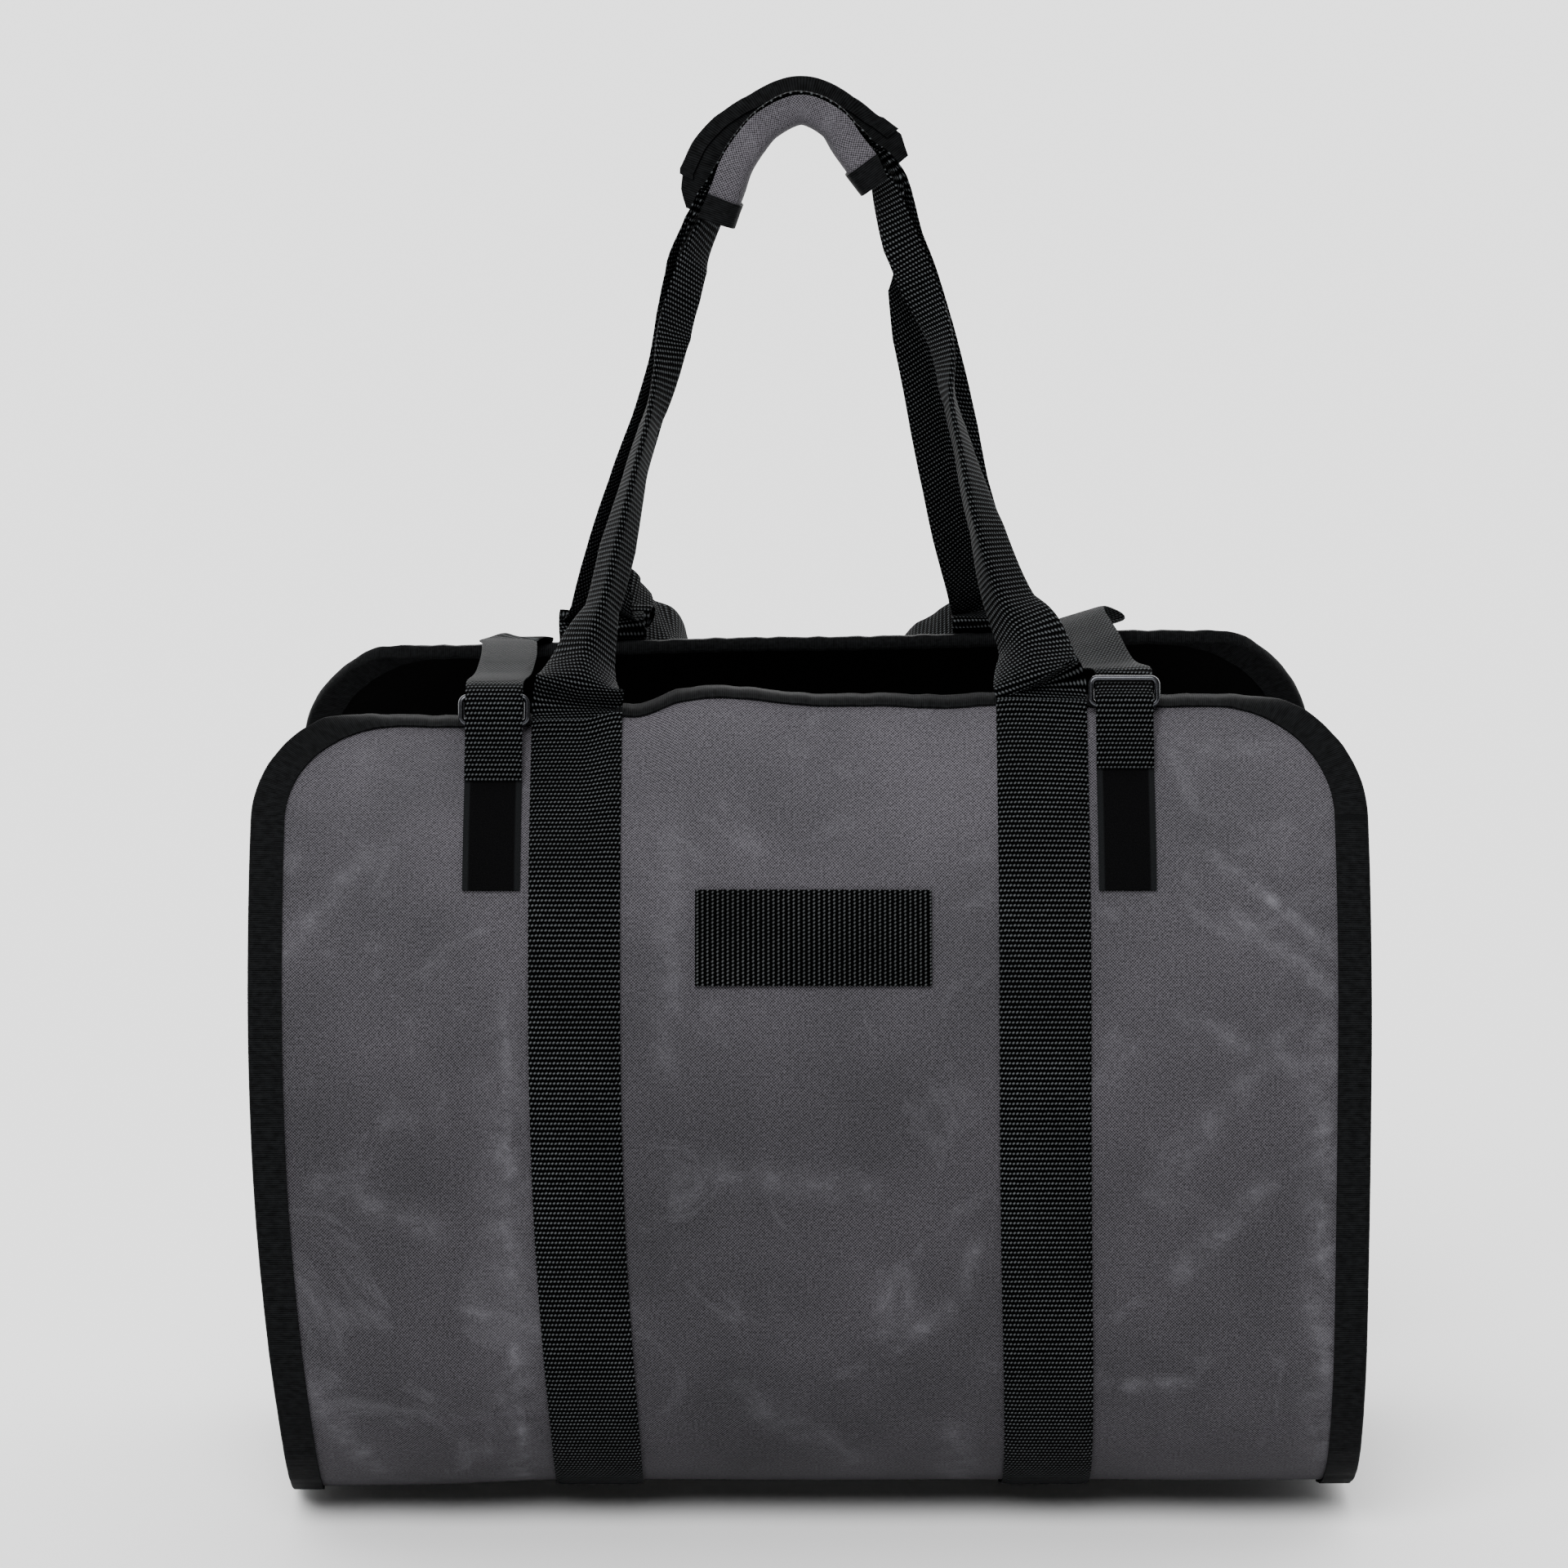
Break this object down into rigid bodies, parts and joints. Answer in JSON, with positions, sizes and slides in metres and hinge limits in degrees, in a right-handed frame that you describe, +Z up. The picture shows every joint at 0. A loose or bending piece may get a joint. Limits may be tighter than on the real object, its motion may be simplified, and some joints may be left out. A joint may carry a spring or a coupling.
{
  "type": "log carrier",
  "caption": "Waxed canvas log carrier: a sheet slung as an open-ended trough from webbing handles that meet in a wrapped grip, with straps across its mouth.",
  "frame": {"origin": "underside of the grip's middle, where a hand or a hook holds the carrier", "axes": "+Z up, +X to the right along the trough, -Y to the front, the side with the webbing patch"},
  "size_m": [0.4648, 0.3537, 0.6034],
  "materials": {
    "canvas_grey": "matte waxed canvas",
    "lining_black": "matte woven lining",
    "tape_black": "matte binding tape",
    "webbing_black": "ribbed webbing with a slight sheen",
    "loop_black": "fuzzy fastener tape",
    "ring_steel": "dark plated wire"
  },
  "bodies": {
    "root": {"canvas_body": "canvas_grey", "lining": "lining_black", "edge_binding": "tape_black", "strap_run_left": "webbing_black", "strap_run_right": "webbing_black", "front_handle": "webbing_black", "rear_handle": "webbing_black", "rear_sling": "webbing_black", "grip_canvas": "canvas_grey", "grip_lining": "lining_black", "grip_cuff_left": "tape_black", "grip_cuff_right": "tape_black", "grip_rim": "tape_black", "security_strap_left": "webbing_black", "security_strap_right": "webbing_black", "ring_left": "ring_steel", "ring_right": "ring_steel", "ring_tab_left": "webbing_black", "ring_tab_right": "webbing_black", "loop_patch_left": "loop_black", "loop_patch_right": "loop_black", "front_patch": "webbing_black"}
  },
  "joints": []
}
